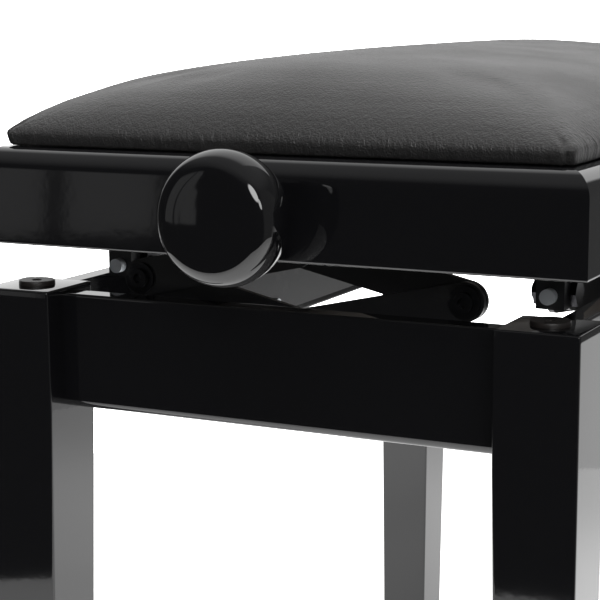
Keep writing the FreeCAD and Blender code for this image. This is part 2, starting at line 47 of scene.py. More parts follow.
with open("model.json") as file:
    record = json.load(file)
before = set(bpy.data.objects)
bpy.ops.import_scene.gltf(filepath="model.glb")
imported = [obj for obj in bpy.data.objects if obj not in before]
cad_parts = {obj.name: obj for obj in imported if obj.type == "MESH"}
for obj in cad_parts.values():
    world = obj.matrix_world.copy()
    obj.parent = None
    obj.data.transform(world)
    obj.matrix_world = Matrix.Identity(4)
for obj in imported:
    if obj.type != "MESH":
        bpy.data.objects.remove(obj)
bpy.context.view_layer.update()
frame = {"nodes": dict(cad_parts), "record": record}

SEAT = "seat"
BASE = "base"
ENDS = (("near", -1.0), ("far", 1.0))
QUARTER_TURNS = {"near": 0, "left": 1, "far": 2, "right": 3}      # see spun()
LEGS = {"near_left": (-1, -1), "near_right": (1, -1), "far_left": (-1, 1), "far_right": (1, 1)}


def reach(node, axis):
    """Half the width of a node that is centred on the bench."""
    return float(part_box(node)[1][axis])


RAIL_LOW = float(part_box("seat_rail_near")[0][2])
RAIL_TOP = float(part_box("seat_rail_near")[1][2])
RAIL_X = reach("seat_rail_right", 0)
RAIL_Y = reach("seat_rail_far", 1)
COVER_SPREAD = 0.0036      # the cover swells past the foam on the long sides
PAD_X = reach("seat_pad", 0) + COVER_SPREAD
PAD_Y = reach("seat_pad", 1)
PAD_TOP = float(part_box("seat_pad")[1][2])
KNOB_Y = -float(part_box("knob_near")[0][1])
KNOB_BACK = -float(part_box("knob_near")[1][1])
SPINDLE_Z = float(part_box("spindle")[0][2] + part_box("spindle")[1][2]) / 2
GLIDE_RADIUS = 0.011
BUMPER_RADIUS = 0.0098


# --- settings that a user would change ------------------------------------
class BenchFrameSettings(bpy.types.PropertyGroup):
    rail_round: bpy.props.FloatProperty(
        name="Rail Round", description="Quarter round on the rail's upper outer edge",
        default=0.0125, min=0.002, unit="LENGTH")
    rail_ease: bpy.props.FloatProperty(
        name="Rail Ease", description="Small round on the rail's lower edge", default=0.0015, unit="LENGTH")
    apron_round: bpy.props.FloatProperty(
        name="Apron Round", description="Round on the apron's lower outer edge",
        default=0.0045, unit="LENGTH")
    leg_ease: bpy.props.FloatProperty(
        name="Leg Ease", description="Round on the edges of each leg", default=0.0012, unit="LENGTH")
    lacquer: bpy.props.FloatVectorProperty(
        name="Lacquer", description="Colour of the gloss lacquer", subtype="COLOR",
        size=3, min=0, max=1, default=(0.0035, 0.0035, 0.004))
    peel: bpy.props.FloatProperty(
        name="Orange Peel", description="Height of the lacquer's ripple", default=0.0000065,
        precision=7, unit="LENGTH")


class BenchPadSettings(bpy.types.PropertyGroup):
    edge: bpy.props.FloatProperty(
        name="Edge Height", description="Upright edge under the dome", default=0.007, unit="LENGTH")
    corner: bpy.props.FloatProperty(
        name="Corner Radius", description="Plan radius of the pad's corners", default=0.005, unit="LENGTH")
    stuffing: bpy.props.FloatProperty(
        name="Stuffing Pressure", description="Pressure that the foam puts on the cover", default=4.0)
    wrinkle: bpy.props.FloatProperty(
        name="Wrinkle Depth", description="Depth of the pull marks along the lower edge",
        default=0.00028, precision=5, unit="LENGTH")
    pleat: bpy.props.FloatProperty(
        name="Pleat Depth", description="Depth of the folded pleat at each corner",
        default=0.0048, precision=4, unit="LENGTH")
    colour: bpy.props.FloatVectorProperty(
        name="Leathercloth", description="Colour of the cover", subtype="COLOR",
        size=3, min=0, max=1, default=(0.023, 0.0225, 0.0225))


class BenchStudioSettings(bpy.types.PropertyGroup):
    floor_colour: bpy.props.FloatVectorProperty(
        name="Floor", description="Colour of the plain floor", subtype="COLOR",
        size=3, min=0, max=1, default=(0.86, 0.86, 0.86))
    floor_radius: bpy.props.FloatProperty(
        name="Floor Radius", description="Radius of the floor disc", default=0.95, unit="LENGTH")
    floor_glow: bpy.props.FloatProperty(
        name="Floor Glow", description="Light that the backlit floor gives by itself", default=1.3)
    top_power: bpy.props.FloatProperty(
        name="Top Light", description="Power of the overhead soft box in watts", default=34.0)


# --- surfaces ----------------------------------------------------------------
def surface(name, grid, wrap_u=False, wrap_v=False, caps=False):
    """Mesh over a grid of points: each cell of neighbours (i, j) is one quad.

    wrap_u and wrap_v join the last row or column to the first; caps closes the
    first and the last row with one flat face each."""
    rows, columns = grid.shape[:2]
    index = np.arange(rows * columns).reshape(rows, columns)
    if wrap_u:
        index = np.concatenate([index, index[:1]])
    if wrap_v:
        index = np.concatenate([index, index[:, :1]], axis=1)
    quads = np.stack([index[:-1, :-1], index[1:, :-1], index[1:, 1:], index[:-1, 1:]], axis=-1)
    faces = quads.reshape(-1, 4).tolist()
    if caps:
        faces.append(index[0, :columns].tolist())
        faces.append(index[-1, :columns].tolist()[::-1])
    mesh = bpy.data.meshes.new(name)
    mesh.from_pydata(grid.reshape(-1, 3).astype(float), [], faces)
    work = bmesh.new()
    work.from_mesh(mesh)
    bmesh.ops.recalc_face_normals(work, faces=work.faces)
    work.to_mesh(mesh)
    work.free()
    mesh.polygons.foreach_set("use_smooth", np.ones(len(mesh.polygons), dtype=bool))
    piece = bpy.data.objects.new(name, mesh)
    bpy.context.scene.collection.objects.link(piece)
    return piece


def rounded_outline(corners, radii, steps=9, guard=0.0006):
    """Closed outline with round corners, as an array of points.

    Each corner becomes an arc tangent to its two sides: the arc's centre lies on
    the bisector, and its angle runs evenly from one tangent point to the other.
    A guard point on each side keeps the flats flat in the shading."""
    points = []
    count = len(corners)
    corners = np.asarray(corners, dtype=float)
    for k in range(count):
        here = corners[k]
        before = corners[k - 1] - here
        after = corners[(k + 1) % count] - here
        before /= np.linalg.norm(before)
        after /= np.linalg.norm(after)
        half = math.acos(float(np.clip(before @ after, -1, 1))) / 2
        radius = radii[k]
        tangent = radius / math.tan(half)
        middle = before + after
        centre = here + middle / np.linalg.norm(middle) * radius / math.sin(half)
        start = here + before * tangent - centre
        end = here + after * tangent - centre
        a0 = math.atan2(start[1], start[0])
        sweep = (math.atan2(end[1], end[0]) - a0 + math.pi) % (2 * math.pi) - math.pi
        angle = a0 + sweep * np.linspace(0, 1, steps)
        arc = centre + radius * np.stack([np.cos(angle), np.sin(angle)], axis=1)
        points += [here + before * (tangent + guard), *arc, here + after * (tangent + guard)]
    return np.array(points)


def lathe(name, radius, height, centre, axis, turns=128):
    """Surface of revolution: each profile point goes round the axis as
    radius * (cos a, sin a), at its own height along the axis."""
    angle = np.linspace(0, 2 * math.pi, turns, endpoint=False)
    ring = np.stack([np.cos(angle), np.sin(angle)], axis=1)
    flat = radius[:, None, None] * ring[None]
    level = np.broadcast_to(height[:, None, None], (len(height), turns, 1))
    if axis == "Y":
        grid = np.concatenate([flat[..., :1], level, flat[..., 1:]], axis=2)
    else:
        grid = np.concatenate([flat, level], axis=2)
    return surface(name, grid + np.array(centre), wrap_v=True, caps=True)


def smooth_path(points, count):
    """Catmull-Rom curve through a few points, as count evenly stepped points."""
    points = np.asarray(points, dtype=float)
    padded = np.concatenate([points[:1] * 2 - points[1:2], points, points[-1:] * 2 - points[-2:-1]])
    t = np.linspace(0, len(points) - 1, count)
    i = np.minimum(t.astype(int), len(points) - 2)
    f = (t - i)[:, None]
    a, b, c, d = padded[i], padded[i + 1], padded[i + 2], padded[i + 3]
    return 0.5 * (2 * b + (c - a) * f + (2 * a - 5 * b + 4 * c - d) * f ** 2
                  + (3 * b - 3 * c + d - a) * f ** 3)


def joined(name, pieces):
    """Several meshes made one object."""
    bpy.ops.object.select_all(action="DESELECT")
    for piece in pieces:
        piece.select_set(True)
    bpy.context.view_layer.objects.active = pieces[0]
    bpy.ops.object.join()
    pieces[0].name = name
    pieces[0].data.name = name
    return pieces[0]


def finish_piece(piece, body, material, node):
    """Give the piece its material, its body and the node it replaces."""
    piece.data.materials.clear()
    piece.data.materials.append(material)
    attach(piece, body)
    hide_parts(node)


# --- shader building ------------------------------------------------------------
def add(tree, kind, **values):
    """New node; a value goes to the input of that name, or else to the node."""
    made = tree.nodes.new(kind)
    for key, value in values.items():
        name = key.replace("_", " ").title()
        if name in made.inputs:
            made.inputs[name].default_value = value
        else:
            setattr(made, key, value)
    return made


def wire(tree, source, output, target, slot):
    """Link one named or numbered output to one named or numbered input."""
    tree.links.new(source.outputs[output], target.inputs[slot])


def new_group(name, inputs, outputs):
    """Shader node group with named value inputs and outputs."""
    group = bpy.data.node_groups.new(name, "ShaderNodeTree")
    for label, default in inputs:
        socket = group.interface.new_socket(label, in_out="INPUT", socket_type="NodeSocketFloat")
        socket.default_value = default
    group.interface.new_socket("Vector", in_out="INPUT", socket_type="NodeSocketVector")
    for label in outputs:
        group.interface.new_socket(label, in_out="OUTPUT", socket_type="NodeSocketFloat")
    return group, group.nodes.new("NodeGroupInput"), group.nodes.new("NodeGroupOutput")


def lacquer_group():
    """Orange peel height, faint polish haze and dust specks of a sprayed lacquer."""
    tree, given, result = new_group(
        "Sprayed Lacquer", [("Peel Scale", 260.0), ("Haze", 0.03), ("Gloss", 0.035)],
        ["Height", "Roughness"])
    peel = add(tree, "ShaderNodeTexNoise", detail=1.0, roughness=0.45)
    wide = add(tree, "ShaderNodeTexNoise", scale=34.0, detail=1.0)
    specks = add(tree, "ShaderNodeTexVoronoi", scale=95.0)
    dot = add(tree, "ShaderNodeMapRange", from_min=0.0, from_max=0.035, to_min=1.2, to_max=0.0)
    mix = add(tree, "ShaderNodeMath", operation="MULTIPLY_ADD")
    mix.inputs[1].default_value = 2.2
    total = add(tree, "ShaderNodeMath", operation="ADD")
    haze = add(tree, "ShaderNodeTexNoise", scale=9.0, detail=5.0)
    rough = add(tree, "ShaderNodeMath", operation="MULTIPLY_ADD")
    for texture in (peel, wide, specks, haze):
        wire(tree, given, "Vector", texture, "Vector")
    wire(tree, given, "Peel Scale", peel, "Scale")
    wire(tree, specks, "Distance", dot, "Value")
    wire(tree, wide, "Fac", mix, 0)
    wire(tree, peel, "Fac", mix, 2)
    wire(tree, mix, 0, total, 0)
    wire(tree, dot, 0, total, 1)
    wire(tree, haze, "Fac", rough, 0)
    wire(tree, given, "Haze", rough, 1)
    wire(tree, given, "Gloss", rough, 2)
    wire(tree, total, 0, result, "Height")
    wire(tree, rough, 0, result, "Roughness")
    return tree


def grain_group():
    """Leathercloth: small pebbles, broken creases and upright pull marks by the edge."""
    tree, given, result = new_group(
        "Leathercloth Grain", [("Pebble Scale", 1150.0), ("Edge Height", 0.452), ("Pull", 1.0)],
        ["Height", "Roughness", "Shade"])
    pebbles = add(tree, "ShaderNodeTexVoronoi", feature="SMOOTH_F1", smoothness=0.6)
    creases = add(tree, "ShaderNodeTexNoise", scale=420.0, detail=4.0, roughness=0.6)
    stretch = add(tree, "ShaderNodeMapping", scale=(430.0, 430.0, 95.0))
    pulls = add(tree, "ShaderNodeTexNoise", scale=1.0, detail=2.5, roughness=0.55, distortion=0.5)
    split = add(tree, "ShaderNodeSeparateXYZ")
    over = add(tree, "ShaderNodeMath", operation="SUBTRACT")
    fade = add(tree, "ShaderNodeMapRange", interpolation_type="SMOOTHSTEP",
               from_min=0.006, from_max=0.034, to_min=1.7, to_max=0.10)
    pull = add(tree, "ShaderNodeMath", operation="MULTIPLY")
    strength = add(tree, "ShaderNodeMath", operation="MULTIPLY")
    first = add(tree, "ShaderNodeMath", operation="MULTIPLY_ADD")
    first.inputs[1].default_value = 0.55
    second = add(tree, "ShaderNodeMath", operation="MULTIPLY_ADD")
    second.inputs[1].default_value = 0.8
    patch = add(tree, "ShaderNodeTexNoise", scale=16.0, detail=3.0)
    rough = add(tree, "ShaderNodeMapRange", from_min=0.3, from_max=0.7, to_min=0.40, to_max=0.50)
    shade = add(tree, "ShaderNodeMapRange", from_min=0.3, from_max=0.7, to_min=0.85, to_max=1.12)
    for texture in (pebbles, creases, stretch, patch):
        wire(tree, given, "Vector", texture, "Vector")
    wire(tree, given, "Pebble Scale", pebbles, "Scale")
    wire(tree, given, "Vector", split, "Vector")
    wire(tree, split, "Z", over, 0)
    wire(tree, given, "Edge Height", over, 1)
    wire(tree, over, 0, fade, "Value")
    wire(tree, stretch, "Vector", pulls, "Vector")
    wire(tree, pulls, "Fac", pull, 0)
    wire(tree, fade, 0, pull, 1)
    wire(tree, pull, 0, strength, 0)
    wire(tree, given, "Pull", strength, 1)
    wire(tree, pebbles, "Distance", first, 0)
    wire(tree, strength, 0, first, 2)
    wire(tree, creases, "Fac", second, 0)
    wire(tree, first, 0, second, 2)
    wire(tree, patch, "Fac", rough, "Value")
    wire(tree, patch, "Fac", shade, "Value")
    wire(tree, second, 0, result, "Height")
    wire(tree, rough, 0, result, "Roughness")
    wire(tree, shade, 0, result, "Shade")
    return tree


def wear_group():
    """Powder texture, rub marks and fine scratches of workshop steel."""
    tree, given, result = new_group(
        "Workshop Steel", [("Texture Scale", 900.0), ("Rub", 0.5), ("Base Roughness", 0.38)],
        ["Height", "Rubbed", "Roughness"])
    powder = add(tree, "ShaderNodeTexNoise", detail=3.0)
    rub = add(tree, "ShaderNodeTexNoise", scale=48.0, detail=7.0, roughness=0.65)
    mask = add(tree, "ShaderNodeMapRange", from_min=0.56, from_max=0.70, to_min=0.0, to_max=1.0)
    amount = add(tree, "ShaderNodeMath", operation="MULTIPLY")
    lines = add(tree, "ShaderNodeMapping", scale=(900.0, 60.0, 900.0), rotation=(0.2, 0.1, 0.35))
    scratch = add(tree, "ShaderNodeTexNoise", scale=1.0, detail=2.0)
    height = add(tree, "ShaderNodeMath", operation="MULTIPLY_ADD")
    height.inputs[1].default_value = 0.4
    rough = add(tree, "ShaderNodeMath", operation="MULTIPLY_ADD")
    rough.inputs[1].default_value = 0.22
    for texture in (powder, rub, lines):
        wire(tree, given, "Vector", texture, "Vector")
    wire(tree, given, "Texture Scale", powder, "Scale")
    wire(tree, rub, "Fac", mask, "Value")
    wire(tree, mask, 0, amount, 0)
    wire(tree, given, "Rub", amount, 1)
    wire(tree, lines, "Vector", scratch, "Vector")
    wire(tree, scratch, "Fac", height, 0)
    wire(tree, powder, "Fac", height, 2)
    wire(tree, rub, "Fac", rough, 0)
    wire(tree, given, "Base Roughness", rough, 2)
    wire(tree, height, 0, result, "Height")
    wire(tree, amount, 0, result, "Rubbed")
    wire(tree, rough, 0, result, "Roughness")
    return tree


def timber_group():
    """Timber: long fibres and growth bands along Y, with fine pores."""
    tree, given, result = new_group(
        "Timber Grain", [("Band Scale", 26.0), ("Fibre Scale", 900.0)], ["Height", "Band"])
    stretch = add(tree, "ShaderNodeMapping", scale=(1.0, 0.08, 1.0))
    fibre = add(tree, "ShaderNodeTexNoise", detail=5.0, roughness=0.6)
    bands = add(tree, "ShaderNodeTexWave", wave_type="BANDS", bands_direction="X",
                distortion=7.0, detail=3.0, detail_scale=1.3)
    wire(tree, given, "Vector", stretch, "Vector")
    wire(tree, stretch, "Vector", fibre, "Vector")
    wire(tree, given, "Fibre Scale", fibre, "Scale")
    wire(tree, stretch, "Vector", bands, "Vector")
    wire(tree, given, "Band Scale", bands, "Scale")
    wire(tree, fibre, "Fac", result, "Height")
    wire(tree, bands, "Fac", result, "Band")
    return tree


def start_material(name):
    """Material with a Principled shader and object coordinates."""
    material = bpy.data.materials.new(name)
    material.use_nodes = True
    tree = material.node_tree
    shader = tree.nodes["Principled BSDF"]
    where = tree.nodes.new("ShaderNodeTexCoord")
    return material, tree, shader, where


def use_group(tree, where, group, **values):
    """The group as a node in object coordinates, with its named values set."""
    made = tree.nodes.new("ShaderNodeGroup")
    made.node_tree = group
    for key, value in values.items():
        made.inputs[key.replace("_", " ").title()].default_value = value
    wire(tree, where, "Object", made, "Vector")
    return made


def bump(tree, shader, source, distance, strength=1.0):
    """Relief of the given depth in metres from the source's height."""
    relief = add(tree, "ShaderNodeBump", strength=strength, distance=distance)
    wire(tree, source, "Height", relief, "Height")
    wire(tree, relief, "Normal", shader, "Normal")


def tinted(tree, shader, source, output, low, high):
    """Base colour that runs from low to high with a mask."""
    ramp = tree.nodes.new("ShaderNodeMix")
    ramp.data_type = "RGBA"
    ramp.inputs["A"].default_value = (*low, 1)
    ramp.inputs["B"].default_value = (*high, 1)
    wire(tree, source, output, ramp, "Factor")
    tree.links.new(ramp.outputs["Result"], shader.inputs["Base Color"])


def lacquer(name, colour, group, peel, gloss, scale):
    material, tree, shader, where = start_material(name)
    shader.inputs["Base Color"].default_value = (*colour, 1)
    shader.inputs["Specular IOR Level"].default_value = 0.5
    shader.inputs["IOR"].default_value = 1.52
    coat = use_group(tree, where, group, peel_scale=scale, gloss=gloss)
    wire(tree, coat, "Roughness", shader, "Roughness")
    bump(tree, shader, coat, peel)
    return material


def leathercloth(colour, group, edge):
    material, tree, shader, where = start_material("black leathercloth")
    shader.inputs["Specular IOR Level"].default_value = 0.5
    shader.inputs["Sheen Weight"].default_value = 0.05
    shader.inputs["Sheen Roughness"].default_value = 0.4
    grain = use_group(tree, where, group, edge_height=edge)
    dark = tuple(c * 0.8 for c in colour)
    light = tuple(c * 1.2 for c in colour)
    tinted(tree, shader, grain, "Shade", dark, light)
    wire(tree, grain, "Roughness", shader, "Roughness")
    bump(tree, shader, grain, 0.00048, 1.0)
    return material


def steel(name, group, dark, bare, metallic, roughness, rub, relief=0.00003):
    material, tree, shader, where = start_material(name)
    shader.inputs["Metallic"].default_value = metallic
    wear = use_group(tree, where, group, rub=rub, base_roughness=roughness)
    tinted(tree, shader, wear, "Rubbed", dark, bare)
    wire(tree, wear, "Roughness", shader, "Roughness")
    bump(tree, shader, wear, relief)
    return material


def timber(name, group, dark, light, band=26.0):
    material, tree, shader, where = start_material(name)
    shader.inputs["Roughness"].default_value = 0.62
    grain = use_group(tree, where, group, band_scale=band)
    tinted(tree, shader, grain, "Band", dark, light)
    bump(tree, shader, grain, 0.00012)
    return material


def rubber(group):
    material, tree, shader, where = start_material("brown black rubber")
    wear = use_group(tree, where, group, texture_scale=1400.0, rub=0.6, base_roughness=0.36)
    tinted(tree, shader, wear, "Rubbed", (0.013, 0.010, 0.009), (0.05, 0.036, 0.028))
    wire(tree, wear, "Roughness", shader, "Roughness")
    bump(tree, shader, wear, 0.00004)
    return material


FINISHES = {}


class BENCH_OT_finishes(bpy.types.Operator):
    """Make the materials and give every carried-over node its own"""
    bl_idname = "bench.finishes"
    bl_label = "Finishes"

    def execute(self, context):
        frame_set = context.scene.bench_frame
        coat, grain, wear, wood = lacquer_group(), grain_group(), wear_group(), timber_group()
        colour = tuple(frame_set.lacquer)
        FINISHES.update({
            "black_lacquer": lacquer("black gloss lacquer", colour, coat, frame_set.peel, 0.03, 240.0),
            "knob_lacquer": lacquer("black knob lacquer", colour, coat, frame_set.peel * 0.35, 0.02, 150.0),
            "leathercloth": leathercloth(tuple(context.scene.bench_pad.colour), grain, RAIL_TOP),
            "black_steel": steel("satin black steel", wear, (0.010, 0.010, 0.011), (0.05, 0.05, 0.052),
                                 0.0, 0.24, 0.5),
            "black_oxide": steel("black oxide steel", wear, (0.035, 0.035, 0.038), (0.16, 0.16, 0.165),
                                 1.0, 0.26, 0.7),
            "zinc": steel("bright zinc", wear, (0.60, 0.63, 0.66), (0.78, 0.80, 0.82), 0.45, 0.34, 0.8),
            "bright_steel": steel("turned steel", wear, (0.42, 0.42, 0.43), (0.6, 0.6, 0.6), 1.0, 0.20, 0.6),
            "bronze": steel("machined bronze", wear, (0.42, 0.29, 0.13), (0.62, 0.46, 0.24), 1.0, 0.24, 0.6),
            "plywood": timber("stained plywood", wood, (0.024, 0.020, 0.017), (0.050, 0.042, 0.035)),
            "beech": timber("stained beech", wood, (0.016, 0.013, 0.012), (0.034, 0.028, 0.024), 40.0),
            "rubber": rubber(wear),
        })
        slots = {row["node"]: row["material_slot"] for row in frame["record"]["subparts"]}
        for node, piece in frame["nodes"].items():
            for slot in piece.material_slots:
                slot.material = FINISHES[slots[node]]
        return {"FINISHED"}


# --- lacquered frame ---------------------------------------------------------------
def rail_grid(half_length, half_depth, outline, stations=7):
    """A moulding along X whose ends are cut at 45 degrees: the point (d, z) of the
    outline runs from -(half length - d) to half length - d, at y = d - half depth."""
    share = np.linspace(-1, 1, stations)[:, None]
    inset, height = outline[None, :, 0], outline[None, :, 1]
    x = share * (half_length - inset)
    y = np.broadcast_to(inset - half_depth, x.shape)
    z = np.broadcast_to(height, x.shape)
    return np.stack([x, y, z], axis=2)


def spun(grid, quarter_turns):
    """The grid turned about Z by quarter turns: each one takes (x, y) to (y, -x)."""
    for _ in range(quarter_turns % 4):
        grid = np.stack([grid[..., 1], -grid[..., 0], grid[..., 2]], axis=-1)
    return grid


class BENCH_OT_seat_rails(bpy.types.Operator):
    """Four mitred seat rails with a quarter round on the upper edge"""
    bl_idname = "bench.seat_rails"
    bl_label = "Seat Rails"

    def execute(self, context):
        cut = context.scene.bench_frame
        thick = RAIL_Y + float(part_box("seat_rail_near")[1][1])
        corners = [(0, RAIL_LOW), (thick, RAIL_LOW), (thick, RAIL_TOP), (0, RAIL_TOP)]
        outline = rounded_outline(corners, [cut.rail_ease, 0.0006, 0.0006, cut.rail_round], steps=14)
        for name, turn in QUARTER_TURNS.items():
            along, across = (RAIL_X, RAIL_Y) if turn % 2 == 0 else (RAIL_Y, RAIL_X)
            grid = spun(rail_grid(along, across, outline), turn)
            rail = surface("lacquered_rail_" + name, grid, wrap_v=True, caps=True)
            sharpen(rail)
            finish_piece(rail, SEAT, FINISHES["black_lacquer"], "seat_rail_" + name)
        return {"FINISHED"}


def sharpen(piece, angle=40.0):
    """Keep edges sharper than the angle crisp."""
    bpy.ops.object.select_all(action="DESELECT")
    piece.select_set(True)
    bpy.context.view_layer.objects.active = piece
    bpy.ops.object.shade_smooth_by_angle(angle=math.radians(angle))


class BENCH_OT_aprons(bpy.types.Operator):
    """Four aprons between the legs, rounded below"""
    bl_idname = "bench.aprons"
    bl_label = "Aprons"

    def execute(self, context):
        low_round = context.scene.bench_frame.apron_round
        for name, turn in QUARTER_TURNS.items():
            low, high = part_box("apron_" + name)
            axis = turn % 2
            half = float(high[axis])
            face = max(abs(float(low[1 - axis])), abs(float(high[1 - axis])))
            thick = float(high[1 - axis] - low[1 - axis])
            corners = [(-face, low[2]), (thick - face, low[2]), (thick - face, high[2]), (-face, high[2])]
            outline = rounded_outline(corners, [low_round, 0.0008, 0.0008, 0.0012])
            x = np.linspace(-half, half, 9)[:, None]
            grid = np.stack([np.broadcast_to(x, (9, len(outline))),
                             np.broadcast_to(outline[:, 0], (9, len(outline))),
                             np.broadcast_to(outline[:, 1], (9, len(outline)))], axis=2)
            apron = surface("lacquered_apron_" + name, spun(grid, turn), wrap_v=True, caps=True)
            sharpen(apron)
            finish_piece(apron, BASE, FINISHES["black_lacquer"], "apron_" + name)
        return {"FINISHED"}


class BENCH_OT_legs(bpy.types.Operator):
    """Four square legs whose two inner faces taper below the aprons"""
    bl_idname = "bench.legs"
    bl_label = "Legs"

    def execute(self, context):
        ease = context.scene.bench_frame.leg_ease
        low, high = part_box("leg_near_right")
        outer_x, outer_y = float(high[0]), -float(low[1])
        size = float(high[0] - low[0])
        shoulder = float(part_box("apron_near")[0][2])
        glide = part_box("floor_glides")
        foot = 2 * (outer_x - (float(glide[1][0]) - GLIDE_RADIUS))
        z = np.array([low[2], low[2] + 0.0004, low[2] + ease, low[2] + 0.004, shoulder - 0.012,
                      shoulder - 0.003, shoulder + 0.003, high[2] - 0.004, high[2] - ease,
                      high[2] - ease * 0.62, high[2] - ease * 0.29, high[2] - ease * 0.08, high[2]])
        trim = np.array([ease, 0.0004, 0, 0, 0, 0, 0, 0, 0, 0.08, 0.29, 0.62, 1.0])
        trim[8:] *= ease
        taper = np.clip((z - low[2]) / (shoulder - low[2]), 0, 1)
        width = foot + (size - foot) * taper
        rings = []
        for level, inset, side in zip(z, trim, width):
            corners = [(-side, -side), (0, -side), (0, 0), (-side, 0)]
            ring = rounded_outline(corners, [ease] * 4, steps=6)
            centre = np.array([-side / 2, -side / 2])
            ring = centre + (ring - centre) * (1 - 2 * inset / side)
            rings.append(np.column_stack([ring, np.full(len(ring), level)]))
        grid = np.array(rings) + np.array([outer_x, outer_y, 0])
        for name, (sx, sy) in LEGS.items():
            leg = surface("lacquered_leg_" + name, grid * np.array([sx, sy, 1]), wrap_v=True, caps=True)
            sharpen(leg)
            finish_piece(leg, BASE, FINISHES["black_lacquer"], "leg_" + name)
        return {"FINISHED"}


class BENCH_OT_bumpers(bpy.types.Operator):
    """Rubber bumper with a centre dimple on each leg top"""
    bl_idname = "bench.bumpers"
    bl_label = "Leg Bumpers"

    def execute(self, context):
        low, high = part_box("leg_bumpers")
        radius = BUMPER_RADIUS
        thick = float(high[2] - low[2])
        profile = smooth_path([(radius, 0), (radius, thick * 0.4), (radius * 0.985, thick * 0.82),
                               (radius * 0.93, thick), (radius * 0.6, thick * 0.97),
                               (radius * 0.30, thick * 0.93), (radius * 0.19, thick * 0.55),
                               (0.0002, thick * 0.5)], 60)
        discs = []
        for sx, sy in LEGS.values():
            centre = (sx * (float(high[0]) - radius), sy * (float(high[1]) - radius), float(low[2]))
            discs.append(lathe("disc", profile[:, 0], profile[:, 1], centre, "Z", 64))
        bumpers = joined("rubber_bumpers", discs)
        finish_piece(bumpers, BASE, FINISHES["rubber"], "leg_bumpers")
        return {"FINISHED"}


class BENCH_OT_knobs(bpy.types.Operator):
    """Turned knob at each end: slim neck, full rim, gently domed front"""
    bl_idname = "bench.knobs"
    bl_label = "Knobs"

    def execute(self, context):
        depth = KNOB_Y - KNOB_BACK
        points = [(0.0110, 0.0), (0.0150, 0.0001), (0.0152, 0.0035), (0.0172, 0.0068), (0.0225, 0.0092),
                  (0.0278, 0.0118), (0.0315, 0.0170), (0.0330, 0.0248), (0.0322, 0.0310),
                  (0.0299, 0.0360), (0.0266, depth - 0.0018), (0.0225, depth - 0.0006),
                  (0.0150, depth - 0.00022), (0.0075, depth - 0.00006), (0.0004, depth)]
        profile = smooth_path(points, 150)
        for name, sign in ENDS:
            along = sign * (KNOB_BACK + profile[:, 1])
            knob = lathe("turned_knob_" + name, profile[:, 0], along, (0, 0, SPINDLE_Z), "Y", 160)
            finish_piece(knob, "spindle", FINISHES["knob_lacquer"], "knob_" + name)
        return {"FINISHED"}


# --- padded seat --------------------------------------------------------------------
def pad_outline(count, corner):
    """Rounded rectangle of the cover, as points at count even steps of arc length."""
    a, b = PAD_X, PAD_Y
    corners = [(a, -b), (a, b), (-a, b), (-a, -b)]
    line = rounded_outline(corners, [corner] * 4, steps=40)
    closed = np.concatenate([line, line[:1]])
    step = np.concatenate([[0], np.cumsum(np.linalg.norm(np.diff(closed, axis=0), axis=1))])
    at = np.linspace(0, step[-1], count, endpoint=False)
    return np.stack([np.interp(at, step, closed[:, 0]), np.interp(at, step, closed[:, 1])], axis=1)


def dome_height(x, y, share, crown):
    """Crown of the pad over a point: crown * (1 - |x/a|^1.213)^0.273 * (1 - |y/b|^2.762)^0.205,
    brought down to nothing at the outline by (1 - share^16.3)^0.47."""
    across = np.clip(1 - np.abs(x / PAD_X) ** 1.213, 0, 1) ** 0.273
    along = np.clip(1 - np.abs(y / PAD_Y) ** 2.762, 0, 1) ** 0.205
    return crown * across * along * np.clip(1 - share ** 16.3, 0, 1) ** 0.47


def pad_grid(columns, rows, settings, shrink=0.0):
    """Closed pad: flat underside, upright edge, then the dome up to its middle.
    shrink draws it in all round, for the stuffing to fill out again."""
    outline = pad_outline(columns, settings.corner)
    crown = PAD_TOP - RAIL_TOP - settings.edge
    bottom = RAIL_TOP + 0.0004
    under = [(0.02, bottom), (0.5, bottom), (0.96, bottom), (0.988, bottom)]
    upright = [(0.9935, bottom + 0.0004), (0.9955, bottom + 0.0015), (0.9975, bottom + 0.0030),
               (0.9992, bottom + 0.0048), (1.0, RAIL_TOP + settings.edge - 0.0008)]
    share = 1 - np.linspace(0, 1, rows) ** 1.7 * 0.985
    lines = []
    for scale, level in under + upright:
        lines.append(np.column_stack([outline * scale, np.full(columns, level)]))
    x = share[:, None] * outline[None, :, 0]
    y = share[:, None] * outline[None, :, 1]
    z = RAIL_TOP + settings.edge + dome_height(x, y, share[:, None], crown)
    grid = np.concatenate([np.array(lines), np.stack([x, y, z], axis=2)])
    grid[..., 0] *= 1 - shrink / PAD_X
    grid[..., 1] *= 1 - shrink / PAD_Y
    return grid


def mesh_points(piece):
    """Vertices of the piece as an array of points."""
    flat = np.empty(len(piece.data.vertices) * 3)
    piece.data.vertices.foreach_get("co", flat)
    return flat.reshape(-1, 3)


def put_points(piece, points):
    """Move the vertices of the piece to the points."""
    piece.data.vertices.foreach_set("co", points.astype(float).ravel())
    piece.data.update()


def apply_all(piece):
    """Replace the mesh with what its modifiers give."""
    depsgraph = bpy.context.evaluated_depsgraph_get()
    done = bpy.data.meshes.new_from_object(piece.evaluated_get(depsgraph))
    piece.modifiers.clear()
    piece.data = done


PAD_STEPS = (1000, 62)     # points round the cover, rows from its edge to its middle
FORM_STEPS = (260, 34)     # the same for the simulated cover
FOAM_SHRINK = 0.003        # the simulated cover starts this much smaller all round
FOAM_MESH = 0.0055         # spacing of the simulated cover
FOAM_HELD = 0.0045         # height up to which the cover is stapled
FOAM_CAP = 0.0011          # most that the foam may push a point
FOAM_FROM = 0.009          # height at which the pad starts to follow the foam
FOAM_OVER = 0.020          # and the height over which it comes to follow it fully
COVER_LIMIT = 0.001        # most that a fold may stand outside the cover
CLOTH_FRAMES = 20


